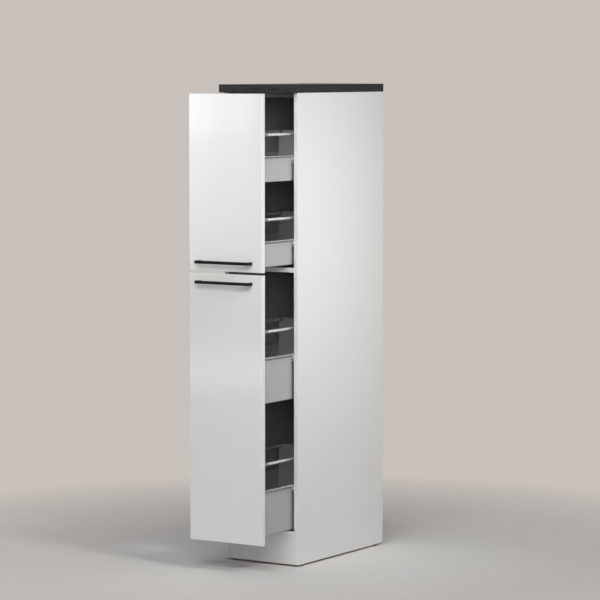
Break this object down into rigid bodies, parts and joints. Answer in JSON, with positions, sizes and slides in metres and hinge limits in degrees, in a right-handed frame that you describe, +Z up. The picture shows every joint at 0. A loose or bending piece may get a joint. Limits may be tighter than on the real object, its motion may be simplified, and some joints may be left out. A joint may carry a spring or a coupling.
{
  "type": "kitchen cabinet",
  "caption": "Tall narrow larder cabinet with a worktop and stacked pull-outs: glossy handled fronts that carry steel-sided drawers with gallery rails on roller runners.",
  "frame": {"origin": "on the floor, midway between the side panels and midway along the carcass depth", "axes": "+X to the right as the fronts are faced, +Y to the wall behind, +Z up"},
  "size_m": [0.3, 0.811, 1.65],
  "materials": {
    "white_board": "matt white melamine on particle board",
    "inner_board": "matt grey melamine on particle board",
    "hardboard": "thin hardboard with a grey lacquered face",
    "worktop": "anthracite laminate with a faint grain",
    "gloss_front": "high-gloss white lacquer on fibre board",
    "black_handle": "satin black powder coat",
    "glide_plastic": "dark moulded plastic",
    "zinc": "die-cast zinc",
    "steel": "zinc-plated steel",
    "beech": "raw beech",
    "bumper_rubber": "pale soft rubber",
    "grey_sheet": "light grey powder-coated steel sheet",
    "drawer_board": "light grey melamine on particle board",
    "rail_metal": "bright satin steel tube",
    "runner_steel": "pale epoxy-coated steel",
    "fitting_metal": "mid grey coated metal",
    "nylon": "white moulded nylon"
  },
  "bodies": {
    "carcass": {"left_side_panel": "white_board", "right_side_panel": "white_board", "bottom_panel": "inner_board", "middle_shelf": "inner_board", "top_front_rail": "inner_board", "top_rear_rail": "inner_board", "back_panel_lower": "hardboard", "back_panel_upper": "hardboard", "plinth_panel": "white_board", "worktop": "worktop", "glides": "glide_plastic", "cam_locks": "zinc", "cam_bolts": "steel", "dowels": "beech", "worktop_screws": "steel", "front_bumpers": "bumper_rubber", "runner_screws": "steel", "drawer_1_runners": "runner_steel", "drawer_2_runners": "runner_steel", "drawer_3_runners": "runner_steel", "drawer_4_runners": "runner_steel"},
    "upper_pullout": {"upper_front": "gloss_front", "upper_handle": "black_handle", "upper_handle_screws": "steel", "drawer_1_side_left": "grey_sheet", "drawer_1_side_right": "grey_sheet", "drawer_1_bottom": "drawer_board", "drawer_1_back": "drawer_board", "drawer_1_rails": "rail_metal", "drawer_1_fittings": "fitting_metal", "drawer_2_side_left": "grey_sheet", "drawer_2_side_right": "grey_sheet", "drawer_2_bottom": "drawer_board", "drawer_2_back": "drawer_board", "drawer_2_rails": "rail_metal", "drawer_2_fittings": "fitting_metal"},
    "lower_pullout": {"lower_front": "gloss_front", "lower_handle": "black_handle", "lower_handle_screws": "steel", "drawer_3_side_left": "grey_sheet", "drawer_3_side_right": "grey_sheet", "drawer_3_bottom": "drawer_board", "drawer_3_back": "drawer_board", "drawer_3_rails": "rail_metal", "drawer_3_fittings": "fitting_metal", "drawer_4_side_left": "grey_sheet", "drawer_4_side_right": "grey_sheet", "drawer_4_bottom": "drawer_board", "drawer_4_back": "drawer_board", "drawer_4_rails": "rail_metal", "drawer_4_fittings": "fitting_metal"},
    "drawer_1_front_rollers": {"drawer_1_front_rollers": "nylon"},
    "drawer_1_rear_rollers": {"drawer_1_rear_rollers": "nylon"},
    "drawer_2_front_rollers": {"drawer_2_front_rollers": "nylon"},
    "drawer_2_rear_rollers": {"drawer_2_rear_rollers": "nylon"},
    "drawer_3_front_rollers": {"drawer_3_front_rollers": "nylon"},
    "drawer_3_rear_rollers": {"drawer_3_rear_rollers": "nylon"},
    "drawer_4_front_rollers": {"drawer_4_front_rollers": "nylon"},
    "drawer_4_rear_rollers": {"drawer_4_rear_rollers": "nylon"}
  },
  "joints": [
    {"name": "upper_pullout_slide", "type": "slide", "parent": "carcass", "child": "upper_pullout", "axis": [0, -1, 0], "range_m": [-0.198, 0.177]},
    {"name": "lower_pullout_slide", "type": "slide", "parent": "carcass", "child": "lower_pullout", "axis": [0, -1, 0], "range_m": [-0.198, 0.177]},
    {"name": "drawer_1_front_roll", "type": "hinge", "parent": "carcass", "child": "drawer_1_front_rollers", "pos_m": [0, -0.271, 1.40055], "axis": [1, 0, 0], "continuous": true},
    {"name": "drawer_1_rear_roll", "type": "hinge", "parent": "upper_pullout", "child": "drawer_1_rear_rollers", "pos_m": [0, 0.0155, 1.39655], "axis": [1, 0, 0], "continuous": true},
    {"name": "drawer_2_front_roll", "type": "hinge", "parent": "carcass", "child": "drawer_2_front_rollers", "pos_m": [0, -0.271, 1.11505], "axis": [1, 0, 0], "continuous": true},
    {"name": "drawer_2_rear_roll", "type": "hinge", "parent": "upper_pullout", "child": "drawer_2_rear_rollers", "pos_m": [0, 0.0155, 1.11105], "axis": [1, 0, 0], "continuous": true},
    {"name": "drawer_3_front_roll", "type": "hinge", "parent": "carcass", "child": "drawer_3_front_rollers", "pos_m": [0, -0.271, 0.72305], "axis": [1, 0, 0], "continuous": true},
    {"name": "drawer_3_rear_roll", "type": "hinge", "parent": "lower_pullout", "child": "drawer_3_rear_rollers", "pos_m": [0, 0.0155, 0.71905], "axis": [1, 0, 0], "continuous": true},
    {"name": "drawer_4_front_roll", "type": "hinge", "parent": "carcass", "child": "drawer_4_front_rollers", "pos_m": [0, -0.271, 0.27305], "axis": [1, 0, 0], "continuous": true},
    {"name": "drawer_4_rear_roll", "type": "hinge", "parent": "lower_pullout", "child": "drawer_4_rear_rollers", "pos_m": [0, 0.0155, 0.26905], "axis": [1, 0, 0], "continuous": true}
  ],
  "couplings": [
    {"joint": "drawer_1_front_roll", "follows": "upper_pullout_slide", "rad_per_m": 105.26},
    {"joint": "drawer_1_rear_roll", "follows": "upper_pullout_slide", "rad_per_m": 105.26},
    {"joint": "drawer_2_front_roll", "follows": "upper_pullout_slide", "rad_per_m": 105.26},
    {"joint": "drawer_2_rear_roll", "follows": "upper_pullout_slide", "rad_per_m": 105.26},
    {"joint": "drawer_3_front_roll", "follows": "lower_pullout_slide", "rad_per_m": 105.26},
    {"joint": "drawer_3_rear_roll", "follows": "lower_pullout_slide", "rad_per_m": 105.26},
    {"joint": "drawer_4_front_roll", "follows": "lower_pullout_slide", "rad_per_m": 105.26},
    {"joint": "drawer_4_rear_roll", "follows": "lower_pullout_slide", "rad_per_m": 105.26}
  ]
}
